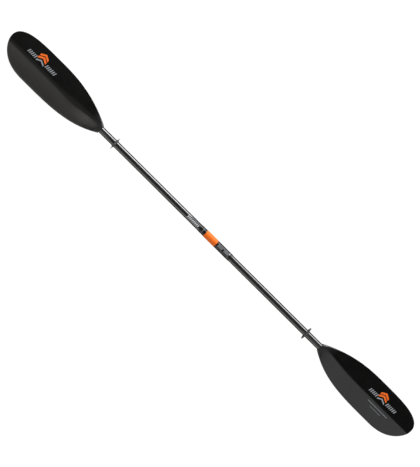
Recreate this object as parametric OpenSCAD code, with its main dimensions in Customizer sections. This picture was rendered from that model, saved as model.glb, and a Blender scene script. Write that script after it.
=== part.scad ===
// Two-piece touring kayak paddle.
// Frame: +X runs along the shaft to the right blade, +Z out of the faces that the blades show,
// +Y towards the blades' long edges. The origin is on the shaft's axis, midway between the tips.
// The left half carries the index collar. The ferrule core turns in it to set the feather angle.
// The right half slides onto the core and is held by the sprung button.

/* [Paddle] */
// Length from tip to tip
overall_length = 2300; // [2100:10:2500]
// Length of each blade, from the end of the tube to the tip
blade_length = 518; // [460:1:560]
// Half of the blade's greatest width
blade_half_width = 82.5; // [72:0.5:90]
// Height of each tip above the shaft's axis
tip_rise = 17; // [5:1:24]
// Angle by which each half of the blade falls away beside its ridge
dihedral_angle = 9; // [5:0.5:12]
// Thickness of the blade beside its ridge
blade_thickness = 2.8; // [2.4:0.1:4]

/* [Shaft] */
// Outer diameter of the shaft tubes
tube_od = 29.5; // [28:0.5:32]
// Wall thickness of the shaft tubes
tube_wall = 1.5; // [1.2:0.1:1.8]
// Distance from the end of the tube to the drip ring
ring_from_blade = 80; // [40:1:160]
// Outer diameter of the drip rings
ring_od = 59; // [50:1:64]

/* [Ferrule] */
// Place of the joint between the halves along the shaft
joint_x = -36; // [-60:1:0]
// Length of the index collar
collar_length = 30; // [24:1:40]
// Length of the orange band
band_length = 62; // [50:1:70]
// Outer diameter of the orange band
band_od = 32.6; // [32:0.1:34]
// Length of the black sleeve behind the band
sleeve_length = 77; // [60:1:90]
// Outer diameter of the black sleeve
sleeve_od = 32; // [31.6:0.1:33]
// Length of the spigot inside the right half
spigot_length = 114; // [100:1:120]
// Diameter of the snap button
button_d = 7; // [6:0.5:8]
// Height of the button above the orange band
button_height = 2; // [1.5:0.1:2.5]
// Angle between neighbouring feather marks
mark_step = 15; // [15:15:30]

/* [Hidden] */
$fn = 96;

// clearances
fit = 0.05;        // radial running clearance, and the glue line of bonded parts
face_gap = 0.3;    // axial gap between parts that turn or slide apart

// shaft
tube_r = tube_od / 2;
bore_r = tube_r - tube_wall;
throat_x = overall_length / 2 - blade_length;
ring_x = throat_x - ring_from_blade;
bulkhead_length = 30;

// index collar: it covers the left tube's end, and its nose carries the core's neck
collar_r = 15.4;
nose_length = 8;
collar_x = joint_x - collar_length;
nose_x = joint_x - nose_length;
mark_r = 1.4;
mark_x = collar_x + 15;
mark_depth = 0.35;

// ferrule core
spigot_r = bore_r - fit;
spigot_bore_r = 10.5;
neck_r = 12.2;
mouth_x = joint_x + face_gap;
spigot_end_x = mouth_x + spigot_length;
bush_length = 11.7;
bush_x = nose_x - face_gap - bush_length;
clip_width = 1.4;
clip_groove_r = 11.4;
neck_x = bush_x - 8;
seal_section_r = 0.8;
seal_x = [spigot_end_x - 20, spigot_end_x - 12];
cap_plug_length = 12;
cap_nose_length = 6;

// snap button, on the underside of the joint
button_r = button_d / 2;
button_x = mouth_x + 15;
button_top = band_od / 2 + button_height;
button_hole_r = button_r + face_gap;
button_flange_r = 5;
button_flange_top = 9;
button_flange_thickness = 1.2;
button_foot = button_flange_top - button_flange_thickness;
spring_thickness = 0.6;
spring_width = 5;
spring_top = 10.1;
spring_leg = 34;

// pieces over the right tube
band_end_x = mouth_x + band_length;
end_ring_length = 5;
sleeve_x = band_end_x + end_ring_length;
sleeve_end_x = sleeve_x + sleeve_length;
trim_width = 2.5;
trim_x = sleeve_end_x - 14;
trim_depth = 0.5;

// drip ring
ring_hub_length = 10;
ring_hub_r = 16.8;
ring_rim = 1.5;

// blade outline, in distances from the throat
throat_r = 15.2;           // height of the throat's section above and below the axis
throat_long = 18;          // half-width of the throat on the long edge's side
throat_short = 18.6;       // and on the short edge's side
tip_offset = 18;           // how far the tip lies towards the long edge
long_widest = 285;         // where the long edge reaches full width
short_widest = 362;        // where the short edge does

// blade form
throat_lift = 8;           // height of the blade's middle surface at the throat
lift_reach = 220;          // how far that lift reaches
shoulder = 40;             // how soon the throat's thick section thins out to wings
ridge_share = 0.45;        // share of the fall from the ridge that fades out towards the edges
ridge_width = 35;          // and over what width it fades
ridge_soft = 6;            // rounding of the ridge on the open blade
neck_soft = 20;            // how much rounder it is at the neck
ridge_shift = 14;          // how far the ridge lies towards the long edge at the throat
shift_reach = 220;         // and where it comes back to the axis
blade_ring = 40;           // points round a section
blade_stations = 44;       // sections along the blade
plug_length = 60;          // stub inside the tube
plug_bore_r = 10.2;
plug_bore_depth = 40;      // how far the stub's bore reaches into the blade

// ---- blade ----

// smooth step from 0 at u = 0 to 1 at u = span
function ramp(u, span) = (1 - cos(180 * min(1, u / span))) / 2;

// half-width of one edge: a swelling stretch from the throat, then a superellipse to the tip
function edge_at(u, start, widest, swell, round_a, round_b, at_tip) =
    u < widest
    ? start + (blade_half_width - start) * (1 - pow(1 - u / widest, swell))
    : at_tip + (blade_half_width - at_tip)
      * pow(max(0, 1 - pow((u - widest) / (blade_length - widest), round_a)), 1 / round_b);
function long_edge(u) = edge_at(u, throat_long, long_widest, 2.25, 4.2, 2.35, tip_offset);
function short_edge(u) = -edge_at(u, throat_short, short_widest, 3.5, 2.5, 1.7, -tip_offset);

// middle surface: a spoon curve along the blade, and a ridge that is soft and off-centre at the neck
function ridge_y(u) = ridge_shift * (1 - ramp(u, shift_reach));
function ridge_softness(u) = ridge_soft + neck_soft * (1 - ramp(u, 260));
function fall(out) =
    (1 - ridge_share) * out + ridge_share * ridge_width * (1 - exp(-out / ridge_width));
function middle_z(u, y) =
    let (soft = ridge_softness(u), out = y - ridge_y(u))
    throat_lift * (1 - ramp(u, lift_reach)) + tip_rise * pow(u / blade_length, 2)
    - tan(dihedral_angle) * fall(sqrt(out * out + soft * soft) - soft) * ramp(u, 90);

// half of the thickness at y, on the face whose spine has this centre, height, reach and width
function half_thickness(u, y, across, centre, height, reach, width, throat_power) =
    let (
        spread = ramp(u, shoulder),
        bump = 1 - spread + spread * exp(-pow((y - centre) / width, 2)),
        edge_power = throat_power + 36 * pow(spread, 2),
        tip = sqrt(1 - pow(u / blade_length, 90))
    )
    tip * sqrt(max(0, 1 - pow(across, edge_power)))
    * (blade_thickness / 2 - 0.5 * min(1, abs(y) / blade_half_width) * spread
       + height * (1 - ramp(u, reach)) * bump);
function top_thickness(u, y, across) =
    half_thickness(u, y, across, ridge_y(u), throat_r - blade_thickness / 2 - throat_lift,
                   170, 26, 2);
function back_thickness(u, y, across) =
    half_thickness(u, y, across, 0, throat_r - blade_thickness / 2 + throat_lift,
                   240, 14, 4);

function section_point(u, turn) =
    let (
        low = short_edge(u),
        high = long_edge(u),
        crest = max(0, low + 0.2 * (high - low)),
        across = cos(turn),
        y = crest + across * (across > 0 ? high - crest : crest - low)
    )
    [u, y, middle_z(u, y) + (sin(turn) >= 0 ? top_thickness(u, y, abs(across))
                                            : -back_thickness(u, y, abs(across)))];

function circle_ring(u, r) =
    [for (i = [0 : blade_ring - 1]) let (a = 360 * i / blade_ring) [u, r * cos(a), r * sin(a)]];
function blade_section(u) =
    [for (i = [0 : blade_ring - 1]) section_point(u, 360 * i / blade_ring)];
function station(k) = blade_length * (1 - cos(180 * k / blade_stations)) / 2;

// One blade with its stub, throat at the origin and tip towards +X
module blade_body() {
    sections = concat(
        [circle_ring(plug_bore_depth, plug_bore_r),
         circle_ring(-plug_length, plug_bore_r),
         circle_ring(-plug_length, spigot_r),
         circle_ring(0, spigot_r)],
        [for (k = [0 : blade_stations - 1]) blade_section(station(k))]
    );
    last = len(sections) - 1;
    n = blade_ring;
    bore_end = (last + 1) * n;
    tip = bore_end + 1;
    points = concat(
        [for (s = sections) each s],
        [[plug_bore_depth, 0, 0], [blade_length, tip_offset, middle_z(blade_length, tip_offset)]]
    );
    walls = [for (s = [0 : last - 1], i = [0 : n - 1])
        let (j = (i + 1) % n, a = s * n, b = a + n)
        each [[a + i, b + i, b + j], [a + i, b + j, a + j]]];
    ends = [for (i = [0 : n - 1])
        let (j = (i + 1) % n)
        each [[bore_end, i, j], [tip, last * n + j, last * n + i]]];
    polyhedron(points = points, faces = concat(walls, ends), convexity = 6);
}

// ---- round parts ----

// Pipe along +X from x0 to x1
module pipe(x0, x1, inner, outer) {
    translate([x0, 0, 0]) rotate([0, 90, 0]) difference() {
        cylinder(r = outer, h = x1 - x0);
        translate([0, 0, -1]) cylinder(r = inner, h = x1 - x0 + 2);
    }
}

// Solid of revolution about X: points are [distance along X, radius]
module turned(profile) {
    rotate([0, 90, 0]) rotate_extrude() polygon([for (p = profile) [p[1], p[0]]]);
}

// Ring with small outer chamfers
module chamfered_pipe(x0, x1, inner, outer, chamfer) {
    turned([[x0, inner], [x0, outer - chamfer], [x0 + chamfer, outer],
            [x1 - chamfer, outer], [x1, outer - chamfer], [x1, inner]]);
}

// Round hole or stem on the underside, at the button
module button_axis(r, from, to) {
    translate([button_x, 0, -to]) cylinder(r = r, h = to - from, $fn = 48);
}

// ---- left half ----

module left_blade() {
    color("#26251f") translate([-throat_x, 0, 0]) mirror([1, 0, 0]) blade_body();
}

module left_tube() {
    color("#2b2b2d") pipe(-throat_x, nose_x, bore_r, tube_r);
}

module left_bulkhead() {
    color("gainsboro") translate([collar_x - 60 - bulkhead_length, 0, 0]) rotate([0, 90, 0])
        cylinder(r = spigot_r, h = bulkhead_length);
}

// Discs over the collar's top at every feather angle, from mark_depth under its skin
module discs_at_marks(r, height) {
    for (a = [-60 : mark_step : 60])
        rotate([a, 0, 0]) translate([mark_x, 0, collar_r - mark_depth])
            cylinder(r = r, h = height, $fn = 24);
}

module index_collar() {
    color("#1b1b1d") difference() {
        turned([[collar_x, tube_r + fit], [collar_x, collar_r - 0.3], [collar_x + 0.3, collar_r],
                [joint_x - 0.4, collar_r], [joint_x, collar_r - 0.4], [joint_x, neck_r + fit],
                [nose_x, neck_r + fit], [nose_x, tube_r + fit]]);
        discs_at_marks(mark_r, 1);
    }
}

module degree_marks() {
    color("white") discs_at_marks(mark_r - 0.02, mark_depth + 0.05);
}

// ---- ferrule core ----

module spigot() {
    seal_groove_r = spigot_r - 2 * seal_section_r;
    color("#3a3a3c") difference() {
        turned([[neck_x, spigot_bore_r], [neck_x, neck_r], [mouth_x, neck_r],
                [mouth_x, spigot_r], [spigot_end_x - 1, spigot_r],
                [spigot_end_x, spigot_r - 1], [spigot_end_x, spigot_bore_r]]);
        pipe(bush_x - clip_width - 0.2, bush_x, clip_groove_r, neck_r + 1);
        for (x = seal_x)
            pipe(x - seal_section_r - 0.2, x + seal_section_r + 0.2, seal_groove_r, spigot_r + 1);
        button_axis(button_r + fit, 5, spigot_r + 2);
    }
}

module thrust_bush() {
    color("ivory") chamfered_pipe(bush_x, bush_x + bush_length, neck_r + fit, spigot_r, 0.4);
}

module retaining_ring() {
    gap = 4;
    color("silver") difference() {
        pipe(bush_x - clip_width - 0.1, bush_x - 0.1, clip_groove_r + fit, spigot_r - 0.2);
        translate([bush_x - 5, -gap / 2, 0]) cube([10, gap, 20]);
    }
}

module seal_rings() {
    color("#101010") for (x = seal_x)
        translate([x, 0, 0]) rotate([0, 90, 0]) rotate_extrude()
            translate([spigot_r - seal_section_r, 0]) circle(r = seal_section_r, $fn = 32);
}

module spigot_cap() {
    color("#202022") turned([
        [spigot_end_x - cap_plug_length, 0], [spigot_end_x - cap_plug_length, spigot_bore_r - fit],
        [spigot_end_x, spigot_bore_r - fit], [spigot_end_x, spigot_r - 1],
        [spigot_end_x + cap_nose_length, spigot_r - 3], [spigot_end_x + cap_nose_length, 0]]);
}

module button_pin() {
    crown = 0.8;
    color("#c9ccd0") {
        button_axis(button_r, button_foot, button_top - crown);
        translate([button_x, 0, -button_top]) cylinder(r1 = button_r - crown, r2 = button_r,
                                                       h = crown, $fn = 48);
        button_axis(button_flange_r, button_foot, button_flange_top);
    }
}

// Hairpin strip: one leg under the button, the other against the far wall
module button_spring() {
    foot_z = -button_foot + spring_thickness;
    bend_r = (spring_top + button_foot) / 2;
    bend_z = (spring_top - button_foot) / 2;
    start_x = button_x - button_flange_r;
    color("silver") translate([0, spring_width / 2, 0]) rotate([90, 0, 0])
        linear_extrude(spring_width) {
            translate([start_x, -button_foot]) square([spring_leg, spring_thickness]);
            translate([start_x, spring_top - spring_thickness])
                square([spring_leg, spring_thickness]);
            translate([start_x + spring_leg, bend_z]) intersection() {
                difference() {
                    circle(r = bend_r);
                    circle(r = bend_r - spring_thickness);
                }
                translate([-0.1, -bend_r]) square([bend_r + 1, 2 * bend_r]);
            }
        }
}

// ---- right half ----

module right_tube() {
    color("#2b2b2d") difference() {
        pipe(mouth_x, throat_x, bore_r, tube_r);
        button_axis(button_hole_r, bore_r - 2, tube_r + 2);
    }
}

module orange_band() {
    color("#f07a2c") difference() {
        chamfered_pipe(mouth_x, band_end_x, tube_r + fit, band_od / 2, 0.4);
        button_axis(button_hole_r, tube_r - 2, band_od);
    }
}

module band_end_ring() {
    color("#141416") chamfered_pipe(band_end_x, sleeve_x, tube_r + fit, band_od / 2, 0.3);
}

module ferrule_sleeve() {
    color("#232325") difference() {
        turned([[sleeve_x, tube_r + fit], [sleeve_x, sleeve_od / 2], [sleeve_end_x, sleeve_od / 2],
                [sleeve_end_x, tube_r + fit]]);
        pipe(trim_x, trim_x + trim_width, sleeve_od / 2 - trim_depth, sleeve_od);
    }
}

module trim_ring() {
    color("silver") pipe(trim_x, trim_x + trim_width, sleeve_od / 2 - trim_depth, sleeve_od / 2);
}

module right_bulkhead() {
    color("gainsboro") translate([sleeve_end_x + 20, 0, 0]) rotate([0, 90, 0])
        cylinder(r = spigot_r, h = bulkhead_length);
}

module right_blade() {
    color("#26251f") translate([throat_x, 0, 0]) blade_body();
}

// ---- drip rings ----

// Rubber ring with a hub that thins out to a flat rim
module drip_ring(x) {
    half = ring_hub_length / 2;
    color("#141414") translate([x, 0, 0]) turned([
        [-half, tube_r + fit], [-half, ring_hub_r - 1], [-half + 1, ring_hub_r - 0.2],
        [-3, ring_hub_r + 1.4], [-ring_rim, 21], [-ring_rim / 2, ring_od / 2 - 0.4],
        [0, ring_od / 2], [ring_rim / 2, ring_od / 2 - 0.4], [ring_rim, 21],
        [3, ring_hub_r + 1.4], [half - 1, ring_hub_r - 0.2], [half, ring_hub_r - 1],
        [half, tube_r + fit]]);
}

module left_drip_ring() { drip_ring(-ring_x); }

module right_drip_ring() { drip_ring(ring_x); }

left_blade();
left_tube();
left_bulkhead();
index_collar();
degree_marks();
spigot();
thrust_bush();
retaining_ring();
seal_rings();
spigot_cap();
button_pin();
button_spring();
right_tube();
orange_band();
band_end_ring();
ferrule_sleeve();
trim_ring();
right_bulkhead();
right_blade();
left_drip_ring();
right_drip_ring();
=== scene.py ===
"""Looks of the kayak paddle: blades, woven shaft, printed marks, spring, studio and camera."""
import math

import bmesh
import bpy
import numpy as np
from mathutils import Matrix, Vector


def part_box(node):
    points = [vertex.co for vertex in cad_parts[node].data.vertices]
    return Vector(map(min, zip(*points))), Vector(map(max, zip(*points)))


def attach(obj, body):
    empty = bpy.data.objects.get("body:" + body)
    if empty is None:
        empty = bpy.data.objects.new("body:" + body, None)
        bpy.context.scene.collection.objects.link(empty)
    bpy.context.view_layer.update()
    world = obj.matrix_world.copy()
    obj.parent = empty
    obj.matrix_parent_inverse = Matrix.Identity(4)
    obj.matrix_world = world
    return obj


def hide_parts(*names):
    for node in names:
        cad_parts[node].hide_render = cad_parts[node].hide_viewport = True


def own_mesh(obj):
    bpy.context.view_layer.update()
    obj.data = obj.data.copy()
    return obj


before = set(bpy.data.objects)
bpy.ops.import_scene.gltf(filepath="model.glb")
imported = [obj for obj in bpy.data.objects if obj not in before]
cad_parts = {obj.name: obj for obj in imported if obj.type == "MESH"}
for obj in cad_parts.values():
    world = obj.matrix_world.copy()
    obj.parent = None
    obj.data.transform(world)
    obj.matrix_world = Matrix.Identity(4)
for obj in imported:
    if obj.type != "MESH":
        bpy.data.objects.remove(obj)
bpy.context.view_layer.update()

MM = 0.001

# ---------------------------------------------------------------- places taken from the frame
BLADE_LOW, BLADE_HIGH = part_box("right_blade")
_, TUBE_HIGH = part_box("right_tube")
_, SLEEVE_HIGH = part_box("ferrule_sleeve")
RING_LOW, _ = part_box("right_drip_ring")
_, SPIGOT_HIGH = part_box("spigot")

TUBE_R = TUBE_HIGH.z
SLEEVE_R = SLEEVE_HIGH.z
THROAT_X = TUBE_HIGH.x
BLADE_LENGTH = BLADE_HIGH.x - THROAT_X
BLADE_HALF_WIDTH = BLADE_HIGH.y
STUB_LENGTH = THROAT_X - BLADE_LOW.x
STUB_R = SPIGOT_HIGH.z
FLOOR_Z = RING_LOW.z

# ---------------------------------------------------------------- blade form, in metres
THROAT_R = 15.2 * MM
THROAT_LONG = 18 * MM
THROAT_SHORT = 18.6 * MM
THROAT_LIFT = 8 * MM
LIFT_REACH = 220 * MM
SHOULDER = 40 * MM
BLADE_THICKNESS = 2.8 * MM
EDGE_THINNING = 0.5 * MM
EDGE_SQUARENESS = 36
TIP_OFFSET = 18 * MM
TIP_RISE = 17 * MM
TIP_SQUARENESS = 90
DIHEDRAL = math.radians(9)
DIHEDRAL_REACH = 90 * MM
FLATTENING = 0.55
FLATTENING_WIDTH = 35 * MM
RIDGE_SOFTNESS = 6 * MM
NECK_SOFTNESS = 20 * MM
NECK_SOFT_REACH = 260 * MM
RIDGE_SHIFT = 14 * MM
SHIFT_REACH = 220 * MM
CREST_SHARE = 0.2
LONG_WIDEST = 285 * MM
SHORT_WIDEST = 362 * MM
LONG_CURVE = (2.25, 4.2, 2.35)
SHORT_CURVE = (3.5, 2.5, 1.7)
TOP_SPINE = {"reach": 170 * MM, "width": 26 * MM, "throat_power": 2}
BACK_SPINE = {"reach": 240 * MM, "width": 14 * MM, "throat_power": 4}
STUB_BORE_R = 10.2 * MM
STUB_BORE_DEPTH = 40 * MM
STATIONS = 150
RING_POINTS = 160
SHARP_DEGREES = 40


def ramp(u, span):
    """Smooth step from 0 at u = 0 to 1 at u = span."""
    return (1 - np.cos(np.pi * np.minimum(1, u / span))) / 2


def edge_at(u, start, widest, curve, at_tip):
    """Half-width of one edge: a swelling stretch from the throat, then a superellipse."""
    swell, round_a, round_b = curve
    if u < widest:
        return start + (BLADE_HALF_WIDTH - start) * (1 - (1 - u / widest) ** swell)
    share = min(1, (u - widest) / (BLADE_LENGTH - widest))
    return at_tip + (BLADE_HALF_WIDTH - at_tip) * (1 - share**round_a) ** (1 / round_b)


def long_edge(u):
    return edge_at(u, THROAT_LONG, LONG_WIDEST, LONG_CURVE, TIP_OFFSET)


def short_edge(u):
    return -edge_at(u, THROAT_SHORT, SHORT_WIDEST, SHORT_CURVE, -TIP_OFFSET)


def ridge_y(u):
    """Where the ridge lies: it wanders towards the long edge as it nears the neck."""
    return RIDGE_SHIFT * (1 - ramp(u, SHIFT_REACH))


def middle_z(u, y):
    """Height of the blade's middle surface: a spoon curve and a ridge, soft at the neck."""
    soft = RIDGE_SOFTNESS + NECK_SOFTNESS * (1 - ramp(u, NECK_SOFT_REACH))
    out = np.sqrt((y - ridge_y(u)) ** 2 + soft * soft) - soft
    steep = FLATTENING_WIDTH * (1 - np.exp(-out / FLATTENING_WIDTH))
    fall = FLATTENING * out + (1 - FLATTENING) * steep
    lift = THROAT_LIFT * (1 - ramp(u, LIFT_REACH)) + TIP_RISE * (u / BLADE_LENGTH) ** 2
    return lift - math.tan(DIHEDRAL) * fall * ramp(u, DIHEDRAL_REACH)


def half_thickness(u, y, across, centre, height, reach, width, throat_power):
    """Half of the thickness on the face whose spine has this centre, height, reach and width."""
    spread = ramp(u, SHOULDER)
    bump = 1 - spread + spread * np.exp(-(((y - centre) / width) ** 2))
    spine = height * (1 - ramp(u, reach)) * bump
    thinning = EDGE_THINNING * np.minimum(1, abs(y) / BLADE_HALF_WIDTH) * spread
    power = throat_power + EDGE_SQUARENESS * spread**2
    rounding = np.sqrt(np.maximum(0, 1 - across**power))
    tip = math.sqrt(max(0, 1 - (u / BLADE_LENGTH) ** TIP_SQUARENESS))
    return tip * rounding * (BLADE_THICKNESS / 2 - thinning + spine)


def top_thickness(u, y, across):
    height = THROAT_R - BLADE_THICKNESS / 2 - THROAT_LIFT
    return half_thickness(u, y, across, ridge_y(u), height, **TOP_SPINE)


def back_thickness(u, y, across):
    height = THROAT_R - BLADE_THICKNESS / 2 + THROAT_LIFT
    return half_thickness(u, y, across, 0, height, **BACK_SPINE)


def section_span(u):
    """The short edge, the crest and the long edge of the blade's section at u."""
    low, high = short_edge(u), long_edge(u)
    return low, max(0, low + CREST_SHARE * (high - low)), high


def across_at(u, y):
    """How far y lies from the crest towards its edge, from 0 to 1."""
    low, crest, high = section_span(u)
    return abs((y - crest) / (high - crest if y > crest else crest - low))


def face_z(u, y):
    """Height of the blade's ridged face at one point."""
    return float(middle_z(u, y) + top_thickness(u, y, across_at(u, y)))


def blade_section(u):
    """Ring of points round the blade, with the ridged face up."""
    low, crest, high = section_span(u)
    turn = np.arange(RING_POINTS) * 2 * np.pi / RING_POINTS
    across = np.cos(turn)
    y = crest + across * np.where(across > 0, high - crest, crest - low)
    up = middle_z(u, y) + top_thickness(u, y, abs(across))
    down = middle_z(u, y) - back_thickness(u, y, abs(across))
    return np.stack([np.full_like(y, u), y, np.where(np.sin(turn) >= 0, up, down)], axis=1)


def round_section(u, r):
    """Ring of points round the stub or its bore."""
    turn = np.arange(RING_POINTS) * 2 * np.pi / RING_POINTS
    return np.stack([np.full_like(turn, u), r * np.cos(turn), r * np.sin(turn)], axis=1)


# ---------------------------------------------------------------- mesh helpers
def mesh_object(name, points, faces, smooth=True):
    mesh = bpy.data.meshes.new(name)
    mesh.from_pydata([tuple(p) for p in points], [], faces)
    mesh.validate()
    mesh.update()
    mesh.shade_smooth() if smooth else mesh.shade_flat()
    piece = bpy.data.objects.new(name, mesh)
    bpy.context.scene.collection.objects.link(piece)
    return piece


def blade_mesh(name, side):
    """One blade with its stub; side is +1 for the right blade and -1 for the left."""
    steps = np.arange(STATIONS)
    stations = BLADE_LENGTH * (1 - np.cos(np.pi * steps / STATIONS)) / 2
    sections = [
        round_section(STUB_BORE_DEPTH, STUB_BORE_R),
        round_section(-STUB_LENGTH, STUB_BORE_R),
        round_section(-STUB_LENGTH, STUB_R),
        round_section(0, STUB_R),
    ] + [blade_section(u) for u in stations]
    n, last = RING_POINTS, len(sections) - 1
    points = list(np.concatenate(sections))
    points.append((STUB_BORE_DEPTH, 0, 0))
    points.append((BLADE_LENGTH, TIP_OFFSET, middle_z(BLADE_LENGTH, TIP_OFFSET)))
    bore_end, tip = len(points) - 2, len(points) - 1
    faces = []
    for s in range(last):
        for i in range(n):
            j, a = (i + 1) % n, s * n
            faces.append((a + i, a + j, a + n + j, a + n + i))
    for i in range(n):
        j = (i + 1) % n
        faces.append((bore_end, j, i))
        faces.append((tip, last * n + i, last * n + j))
    points = [(side * (THROAT_X + p[0]), p[1], p[2]) for p in points]
    if side < 0:
        faces = [f[::-1] for f in faces]
    piece = mesh_object(name, points, faces)
    sharpen(piece)
    return piece


def sharpen(piece):
    """Marks the edges that turn by more than SHARP_DEGREES, so that they stay crisp."""
    piece.data.set_sharp_from_angle(angle=math.radians(SHARP_DEGREES))


# ---------------------------------------------------------------- materials
MIX_SHARE, MIX_A, MIX_B, MIX_RESULT = 0, 6, 7, 2
NOISE_LOW, NOISE_HIGH = 0.3, 0.7
NECK_NEAR = 15 * MM
NECK_FAR = 70 * MM
NECK_DULLNESS = 0.2
TOW = 2.0 * MM


class Look:
    """A principled material whose nodes are added by short calls."""

    def __init__(self, name, **values):
        self.material = bpy.data.materials.new(name)
        self.material.use_nodes = True
        self.tree = self.material.node_tree
        self.shader = self.tree.nodes["Principled BSDF"]
        self.put(self.shader, values)
        self.place = self.add("ShaderNodeTexCoord").outputs["Object"]

    def put(self, node, values):
        """Sets or links the node's inputs, named or numbered by the keys."""
        for key, value in values.items():
            socket = node.inputs[key]
            if isinstance(value, bpy.types.NodeSocket):
                self.tree.links.new(value, socket)
            else:
                socket.default_value = value

    def add(self, kind, values=None, **settings):
        node = self.tree.nodes.new(kind)
        for key, value in settings.items():
            setattr(node, key, value)
        self.put(node, values or {})
        return node

    def math(self, operation, a, b=0.0):
        return self.add("ShaderNodeMath", {0: a, 1: b}, operation=operation).outputs[0]

    def noise(self, scale, detail=3.0, stretch=(1, 1, 1)):
        place = self.add("ShaderNodeMapping", {"Vector": self.place, "Scale": stretch})
        values = {"Vector": place.outputs[0], "Scale": scale, "Detail": detail}
        return self.add("ShaderNodeTexNoise", values).outputs["Fac"]

    def spread(self, source, low, high, to_low, to_high):
        """Maps the stretch low..high of source to to_low..to_high."""
        values = {"Value": source, "From Min": low, "From Max": high,
                  "To Min": to_low, "To Max": to_high}
        return self.add("ShaderNodeMapRange", values, clamp=True).outputs[0]

    def vary(self, noise, to_low, to_high):
        """Maps the usual stretch of a noise to to_low..to_high."""
        return self.spread(noise, NOISE_LOW, NOISE_HIGH, to_low, to_high)

    def mix(self, share, a, b):
        values = {MIX_SHARE: share, MIX_A: a, MIX_B: b}
        return self.add("ShaderNodeMix", values, data_type="RGBA").outputs[MIX_RESULT]

    def bump(self, height, strength, distance):
        values = {"Height": height, "Strength": strength, "Distance": distance}
        normal = self.add("ShaderNodeBump", values).outputs[0]
        self.put(self.shader, {"Normal": normal})

    def surface(self, **values):
        self.put(self.shader, {key.replace("_", " "): v for key, v in values.items()})


def grey(value, warm=0.0):
    """A grey colour, pulled towards red by the share called warm."""
    return (value * (1 + warm), value, value * (1 - warm), 1)


def satin_moulding():
    """Moulded blade: satin over the blade and duller on the neck."""
    look = Look("satin_moulding", **{"IOR": 1.5, "Specular IOR Level": 0.5})
    cloud = look.noise(14, 4)
    grain = look.noise(1100, 2)
    part = look.add("ShaderNodeSeparateXYZ", {0: look.place})
    along = look.math("ABSOLUTE", part.outputs["X"])
    neck = look.spread(along, THROAT_X + NECK_NEAR, THROAT_X + NECK_FAR, NECK_DULLNESS, 0)
    satin = look.vary(look.noise(60, 5), 0.18, 0.22)
    look.surface(Base_Color=look.mix(cloud, grey(0.0008, 0.05), grey(0.0018, 0.08)),
                 Roughness=look.math("ADD", satin, neck))
    look.bump(grain, 0.25, 0.00008)
    return look.material


def woven_carbon():
    """Twill of tows about 2 mm wide under a gloss clear coat."""
    look = Look("woven_carbon", **{"IOR": 1.5, "Specular IOR Level": 0.1, "Coat Weight": 1.0,
                                   "Coat Roughness": 0.04, "Coat IOR": 1.5})
    part = look.add("ShaderNodeSeparateXYZ", {0: look.place})
    angle = look.math("ARCTAN2", part.outputs["Y"], part.outputs["Z"])
    warp = look.math("MULTIPLY", part.outputs["X"], 1 / TOW)
    weft = look.math("MULTIPLY", angle, TUBE_R / TOW)
    step = look.math("SUBTRACT", look.math("FLOOR", warp), look.math("FLOOR", weft))
    over = look.math("LESS_THAN", look.math("FLOORED_MODULO", step, 4.0), 1.5)
    ridge = look.math("PINGPONG", look.math("MULTIPLY", warp, 8.0), 1.0)
    tone = look.math("MULTIPLY", ridge, 0.15)
    look.surface(Base_Color=look.mix(over, grey(0.002), grey(0.006)),
                 Roughness=look.spread(over, 0, 1, 0.42, 0.55))
    look.bump(look.math("ADD", over, tone), 0.06, 0.0001)
    return look.material


def satin_sleeve():
    look = Look("satin_sleeve", **{"IOR": 1.5, "Specular IOR Level": 0.3})
    look.surface(Base_Color=look.mix(look.noise(300, 3), grey(0.003), grey(0.006)),
                 Roughness=look.vary(look.noise(90, 3), 0.26, 0.34))
    look.bump(look.noise(500, 2), 0.04, 0.0001)
    return look.material


def moulded_black():
    look = Look("moulded_black", **{"IOR": 1.5, "Specular IOR Level": 0.25})
    look.surface(Base_Color=look.mix(look.noise(40, 4), grey(0.002), grey(0.004)),
                 Roughness=look.vary(look.noise(220, 4), 0.22, 0.3))
    look.bump(look.noise(1600, 2), 0.12, 0.00008)
    return look.material


def soft_rubber():
    look = Look("soft_rubber", **{"IOR": 1.5, "Specular IOR Level": 0.25,
                                  "Sheen Weight": 0.1, "Sheen Roughness": 0.5})
    look.surface(Base_Color=look.mix(look.noise(120, 4), grey(0.004), grey(0.008)),
                 Roughness=look.vary(look.noise(260, 4), 0.5, 0.66))
    look.bump(look.noise(1400, 3), 0.2, 0.0001)
    return look.material


def orange_film():
    look = Look("orange_film", **{"IOR": 1.5, "Specular IOR Level": 0.12})
    look.surface(Base_Color=look.mix(look.noise(70, 4), (0.34, 0.061, 0.002, 1),
                                     (0.37, 0.067, 0.003, 1)),
                 Roughness=look.vary(look.noise(400, 3), 0.4, 0.5))
    look.bump(look.noise(900, 2), 0.08, 0.0001)
    return look.material


def printed_ink(name, low, high):
    look = Look(name, **{"IOR": 1.5, "Specular IOR Level": 0.2})
    look.surface(Base_Color=look.mix(look.noise(700, 4), low, high),
                 Roughness=look.vary(look.noise(300, 3), 0.4, 0.55))
    look.bump(look.noise(2500, 2), 0.1, 0.00005)
    return look.material


def bare_metal(name, tone, rough_low, rough_high):
    look = Look(name, **{"Metallic": 1.0})
    scratch = look.noise(400, 4, stretch=(30, 1, 1))
    look.surface(Base_Color=look.mix(scratch, grey(tone * 0.85), grey(tone)),
                 Roughness=look.vary(scratch, rough_low, rough_high))
    look.bump(scratch, 0.05, 0.00005)
    return look.material


def pale_nylon():
    look = Look("pale_nylon", **{"IOR": 1.53, "Subsurface Weight": 0.2,
                                 "Subsurface Scale": 0.001})
    look.surface(Base_Color=look.mix(look.noise(80, 3), (0.74, 0.70, 0.60, 1),
                                     (0.82, 0.79, 0.70, 1)),
                 Roughness=look.vary(look.noise(300, 3), 0.35, 0.5))
    look.bump(look.noise(1200, 2), 0.08, 0.0001)
    return look.material


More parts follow.
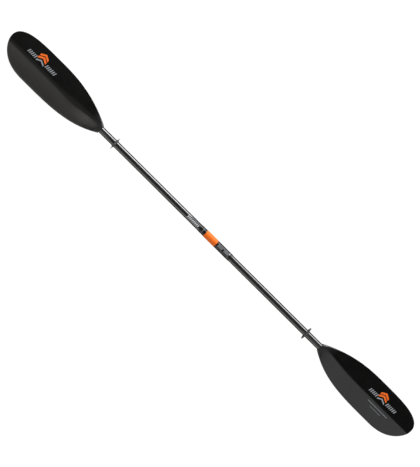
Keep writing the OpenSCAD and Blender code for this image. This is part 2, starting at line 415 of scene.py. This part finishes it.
def composite_tube():
    look = Look("composite_tube", **{"IOR": 1.5})
    wrap = look.noise(900, 3, stretch=(0.15, 1, 1))
    look.surface(Base_Color=look.mix(wrap, grey(0.03), grey(0.055)),
                 Roughness=look.vary(wrap, 0.32, 0.5))
    look.bump(wrap, 0.1, 0.0001)
    return look.material


def cell_foam():
    look = Look("cell_foam")
    values = {"Vector": look.place, "Scale": 900.0}
    cells = look.add("ShaderNodeTexVoronoi", values).outputs["Distance"]
    look.surface(Base_Color=look.mix(cells, grey(0.62, 0.03), grey(0.8, 0.02)),
                 Roughness=look.spread(cells, 0, 1, 0.8, 0.95))
    look.bump(cells, 0.5, 0.0005)
    return look.material


SATIN = satin_moulding()
CARBON = woven_carbon()
SLEEVE = satin_sleeve()
BLACK = moulded_black()
RUBBER = soft_rubber()
ORANGE = orange_film()
WHITE_INK = printed_ink("white_ink", (0.08, 0.087, 0.092, 1), (0.11, 0.117, 0.122, 1))
SHAFT_INK = printed_ink("shaft_ink", (0.18, 0.188, 0.193, 1), (0.24, 0.248, 0.253, 1))
ORANGE_INK = printed_ink("orange_ink", (0.28, 0.045, 0.001, 1), (0.32, 0.053, 0.001, 1))
STEEL = bare_metal("spring_steel", 0.62, 0.22, 0.35)
SILVER = bare_metal("silver_ring", 0.16, 0.45, 0.6)
NYLON = pale_nylon()
COMPOSITE = composite_tube()
FOAM = cell_foam()

NODE_LOOKS = {
    "left_tube": CARBON, "right_tube": CARBON,
    "left_bulkhead": FOAM, "right_bulkhead": FOAM,
    "index_collar": BLACK, "band_end_ring": BLACK, "spigot_cap": BLACK,
    "degree_marks": WHITE_INK, "spigot": COMPOSITE, "thrust_bush": NYLON,
    "retaining_ring": STEEL, "button_pin": STEEL, "button_spring": STEEL,
    "seal_rings": RUBBER, "left_drip_ring": RUBBER, "right_drip_ring": RUBBER,
    "orange_band": ORANGE, "ferrule_sleeve": SLEEVE, "trim_ring": SILVER,
    "left_blade": SATIN, "right_blade": SATIN,
}


def dress(piece, material):
    piece.data.materials.clear()
    piece.data.materials.append(material)


for node_name, node_look in NODE_LOOKS.items():
    dress(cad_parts[node_name], node_look)

# ---------------------------------------------------------------- blades
for blade_side, blade_name in ((1, "right"), (-1, "left")):
    blade = blade_mesh(blade_name + "_blade_skin", blade_side)
    dress(blade, SATIN)
    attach(blade, blade_name + "_half")
    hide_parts(blade_name + "_blade")

# ---------------------------------------------------------------- printed marks
INK_HEIGHT = 0.06 * MM
INK_ROOT = 0.10 * MM
INK_STEPS = 8

# places and sizes of the marks, in mm
STRIP_PIECE = 30
LENGTH_SLACK = 0.01
MARK_X = 983
ARROW_SHIFT = 12
BLADE_BAR = {"width": 4.5, "gap": 4.5, "slant": 5}
SHAFT_BAR = {"width": 5, "gap": 3, "slant": 2.5}
SLEEVE_BAR = {"width": 4, "gap": 2.5, "slant": 2}


def printed(name, quads, place, body, look):
    """A thin closed slab of ink for each four-cornered patch, laid on the surface by place."""
    points, faces = [], []
    n = INK_STEPS + 1
    for corners in quads:
        a, b, c, d = (np.array(corner) * MM for corner in corners)
        base = len(points)
        for height in (INK_HEIGHT, -INK_ROOT):
            for i in range(n):
                for j in range(n):
                    s, t = i / INK_STEPS, j / INK_STEPS
                    flat = (1 - t) * ((1 - s) * a + s * b) + t * ((1 - s) * d + s * c)
                    points.append(place(flat[0], flat[1], height))
        faces += slab_faces(base, n)
    piece = mesh_object(name, points, faces, smooth=False)
    fix = bmesh.new()
    fix.from_mesh(piece.data)
    bmesh.ops.recalc_face_normals(fix, faces=fix.faces)
    fix.to_mesh(piece.data)
    fix.free()
    dress(piece, look)
    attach(piece, body)


def slab_faces(base, n):
    """Faces of a slab whose upper and lower sides are grids of n by n points."""
    faces = []
    for i in range(n - 1):
        for j in range(n - 1):
            k = base + i * n + j
            faces.append((k, k + 1, k + n + 1, k + n))
            m = k + n * n
            faces.append((m, m + n, m + n + 1, m + 1))
    rim = ([i * n for i in range(n - 1)] + [(n - 1) * n + j for j in range(n - 1)]
           + [i * n + n - 1 for i in range(n - 1, 0, -1)] + list(range(n - 1, 0, -1)))
    for k, q in zip(rim, rim[1:] + rim[:1]):
        faces.append((base + k, base + q, base + q + n * n, base + k + n * n))
    return faces


def slanted_bars(start, end, low, high, width, gap, slant):
    """A row of leaning bars between two places along X; marks are measured in mm."""
    bars, x = [], start
    while x + width <= end + LENGTH_SLACK:
        bars.append(((x, low), (x + width, low), (x + width + slant, high), (x + slant, high)))
        x += width + gap
    return bars


def chevron(x, y, half_width, height, thickness):
    """An upward arrowhead of two leaning patches."""
    return [((x - half_width, y), (x, y + height), (x, y + height + thickness),
             (x - half_width, y + thickness)),
            ((x, y + height), (x + half_width, y), (x + half_width, y + thickness),
             (x, y + height + thickness))]


def strip(start, end, low, high):
    """A straight patch along X, cut into pieces short enough to follow the surface."""
    count = max(1, round((end - start) / STRIP_PIECE))
    cuts = np.linspace(start, end, count + 1)
    return [((a, low), (b, low), (b, high), (a, high)) for a, b in zip(cuts[:-1], cuts[1:])]


def on_blade(x, y, height):
    """A place at this height above the ridged face of the blade."""
    return (x, y, face_z(abs(x) - THROAT_X, y) + height)


def on_shaft(radius):
    """Lays marks on a round surface; the second coordinate runs round it from the top."""
    def place(x, around_it, height):
        turn = around_it / radius
        return (x, (radius + height) * math.sin(turn), (radius + height) * math.cos(turn))
    return place


for x, body in ((-MARK_X, "left_half"), (MARK_X, "right_half")):
    side_name = body.split("_")[0]
    arrow_x = x - ARROW_SHIFT
    printed(side_name + "_blade_bars",
            slanted_bars(x - 80, x - 34, 16, 31, **BLADE_BAR)
            + slanted_bars(x + 14, x + 70, 18, 33, **BLADE_BAR)
            + chevron(arrow_x, 14, 20, 10, 6), on_blade, body, WHITE_INK)
    printed(side_name + "_blade_chevrons",
            chevron(arrow_x, 26, 21, 12, 9) + chevron(arrow_x, 39, 21, 12, 9),
            on_blade, body, ORANGE_INK)
printed("right_blade_lines", strip(930, 1040, -16, -13.5) + strip(954, 1012, -28.5, -27),
        on_blade, "right_half", WHITE_INK)
printed("left_shaft_bars", slanted_bars(-138, -70, -6, 4, **SHAFT_BAR), on_shaft(TUBE_R),
        "left_half", SHAFT_INK)
printed("sleeve_bars", slanted_bars(35, 60, -4, 5, **SLEEVE_BAR)
        + strip(68, 92, 2.5, 5) + strip(68, 92, -2.5, 0.5), on_shaft(SLEEVE_R),
        "right_half", WHITE_INK)

# ---------------------------------------------------------------- hairpin spring
SPRING_LOW, SPRING_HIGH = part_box("button_spring")
SPRING_STRIP = 0.6 * MM
SPRING_GAP = 0.03 * MM
BEND_STEPS = 20


def hairpin_path():
    """Middle line of the strip from the foot, round the bend, to the end of the upper leg."""
    half_strip = SPRING_STRIP / 2
    foot = SPRING_LOW.z + SPRING_GAP
    bend_r = (SPRING_HIGH.z - foot) / 2
    bend_x, bend_z = SPRING_HIGH.x - bend_r, (SPRING_HIGH.z + foot) / 2
    line = [(SPRING_LOW.x, foot + half_strip)]
    for k in range(BEND_STEPS + 1):
        turn = math.pi * (k / BEND_STEPS - 0.5)
        line.append((bend_x + (bend_r - half_strip) * math.cos(turn),
                     bend_z + (bend_r - half_strip) * math.sin(turn)))
    line.append((SPRING_LOW.x, SPRING_HIGH.z - half_strip))
    return line


def hairpin_mesh(name):
    """The strip as a closed solid of four-sided rings along its middle line."""
    line = hairpin_path()
    points = []
    for k, (x, z) in enumerate(line):
        before, after = line[max(k - 1, 0)], line[min(k + 1, len(line) - 1)]
        run = Vector((after[0] - before[0], after[1] - before[1])).normalized() * SPRING_STRIP / 2
        for side, y in ((1, SPRING_LOW.y), (1, SPRING_HIGH.y), (-1, SPRING_HIGH.y),
                        (-1, SPRING_LOW.y)):
            points.append((x + side * run.y, y, z - side * run.x))
    last = 4 * (len(line) - 1)
    faces = [(4 * k + i, 4 * k + (i + 1) % 4, 4 * k + 4 + (i + 1) % 4, 4 * k + 4 + i)
             for k in range(len(line) - 1) for i in range(4)]
    faces += [(3, 2, 1, 0), (last, last + 1, last + 2, last + 3)]
    piece = mesh_object(name, points, faces)
    sharpen(piece)
    return piece


spring = hairpin_mesh("hairpin_spring")
dress(spring, STEEL)
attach(spring, "ferrule_core")
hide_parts("button_spring")
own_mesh(spring)

# ---------------------------------------------------------------- studio
VIEW_DISTANCE = 6.1
# how much smaller the paddle looks for each metre along it towards the right blade
SHRINK_PER_METRE = 0.0147
VIEW_TILT = math.asin(SHRINK_PER_METRE * VIEW_DISTANCE)
SHAFT_SLOPE = math.radians(44.82)
VIEW_SPAN = 1.9062
VIEW_AIM = (-0.0061, 0.0233)
SENSOR = 36.0
LIGHT_DISTANCE = 2.6
FLOOR_HALF = 14
SKY = (0.93, 0.93, 0.93, 1)
SKY_IN_GLOSS = (0.012, 0.012, 0.012, 1)

# name, degrees round the shaft, place along X, size, power and colour
LIGHTS = (
    ("softbox", -80, 0, (5.0, 1.9), 72, (1.0, 0.96, 0.92)),
    ("fill", -45, 0, (5.0, 1.5), 21, (1.0, 0.98, 0.95)),
    ("left_overhead", -25, -1.25, (1.3, 1.0), 5.6, (1.0, 0.98, 0.95)),
    ("left_veil", 1, -1.25, (1.3, 1.0), 1.2, (1.0, 0.98, 0.95)),
    ("right_overhead", -15, 1.75, (1.5, 1.2), 5.9, (0.98, 0.99, 1.0)),
    ("left_strip", 70, -1.415, (2.97, 1.5), 250, (0.97, 0.98, 1.0)),
    ("middle_strip", 70, 0.235, (0.33, 1.5), 6.5, (0.98, 0.98, 1.0)),
    ("right_strip", 70, 1.75, (2.7, 1.5), 160, (0.98, 0.98, 1.0)),
)


def camera_axes():
    """Right, up and backward directions of the camera, which leans towards the left blade."""
    along = Vector((math.cos(VIEW_TILT), 0, math.sin(VIEW_TILT)))
    across = Vector((0, 1, 0))
    right = math.cos(SHAFT_SLOPE) * along + math.sin(SHAFT_SLOPE) * across
    up = -math.sin(SHAFT_SLOPE) * along + math.cos(SHAFT_SLOPE) * across
    return right, up, right.cross(up)


def add_camera():
    right, up, back = camera_axes()
    spot = VIEW_AIM[0] * right + VIEW_AIM[1] * up + VIEW_DISTANCE * back
    camera = bpy.data.objects.new("camera", bpy.data.cameras.new("camera"))
    camera.data.sensor_width = SENSOR
    camera.data.lens = SENSOR * VIEW_DISTANCE / VIEW_SPAN
    camera.data.clip_end = 50
    turn = Matrix((right, up, back)).transposed().to_4x4()
    camera.matrix_world = Matrix.Translation(spot) @ turn
    bpy.context.scene.collection.objects.link(camera)
    bpy.context.scene.camera = camera


def add_area(name, degrees, x, size, power, colour):
    """A soft rectangular light that faces the shaft, its long side along X.

    The angle is counted from straight up, and positive is the +Y side.
    """
    turn = math.radians(degrees)
    spot = (x, LIGHT_DISTANCE * math.sin(turn), LIGHT_DISTANCE * math.cos(turn))
    data = bpy.data.lights.new(name, "AREA")
    data.shape = "RECTANGLE"
    data.size, data.size_y = size
    data.energy = power
    data.color = colour
    light = bpy.data.objects.new(name, data)
    right = Vector((1, 0, 0))
    back = Vector((0, spot[1], spot[2])).normalized()
    light.matrix_world = Matrix.Translation(spot) @ Matrix(
        (right, back.cross(right), back)).transposed().to_4x4()
    bpy.context.scene.collection.objects.link(light)


def add_world():
    """A pale sky that reflections see as nearly black."""
    world = bpy.data.worlds.new("studio")
    world.use_nodes = True
    tree = world.node_tree
    back = tree.nodes["Background"]
    path = tree.nodes.new("ShaderNodeLightPath")
    tint = tree.nodes.new("ShaderNodeMix")
    tint.data_type = "RGBA"
    tint.inputs[MIX_A].default_value = SKY
    tint.inputs[MIX_B].default_value = SKY_IN_GLOSS
    tree.links.new(path.outputs["Is Glossy Ray"], tint.inputs[MIX_SHARE])
    tree.links.new(tint.outputs[MIX_RESULT], back.inputs["Color"])
    bpy.context.scene.world = world


def add_floor():
    """A plain pale floor under the drip rings."""
    corners = [(-FLOOR_HALF, -FLOOR_HALF, FLOOR_Z), (FLOOR_HALF, -FLOOR_HALF, FLOOR_Z),
               (FLOOR_HALF, FLOOR_HALF, FLOOR_Z), (-FLOOR_HALF, FLOOR_HALF, FLOOR_Z)]
    floor = mesh_object("floor", corners, [(0, 1, 2, 3)], smooth=False)
    look = Look("pale_floor", **{"Roughness": 0.9, "Specular IOR Level": 0.1})
    look.surface(Base_Color=look.mix(look.noise(3, 3), grey(0.05), grey(0.06)),
                 Emission_Color=grey(1.0), Emission_Strength=0.95)
    dress(floor, look.material)
    floor.visible_glossy = False


add_camera()
add_world()
add_floor()
for light_values in LIGHTS:
    add_area(*light_values)

scene = bpy.context.scene
scene.view_settings.view_transform = "Standard"
scene.view_settings.look = "None"
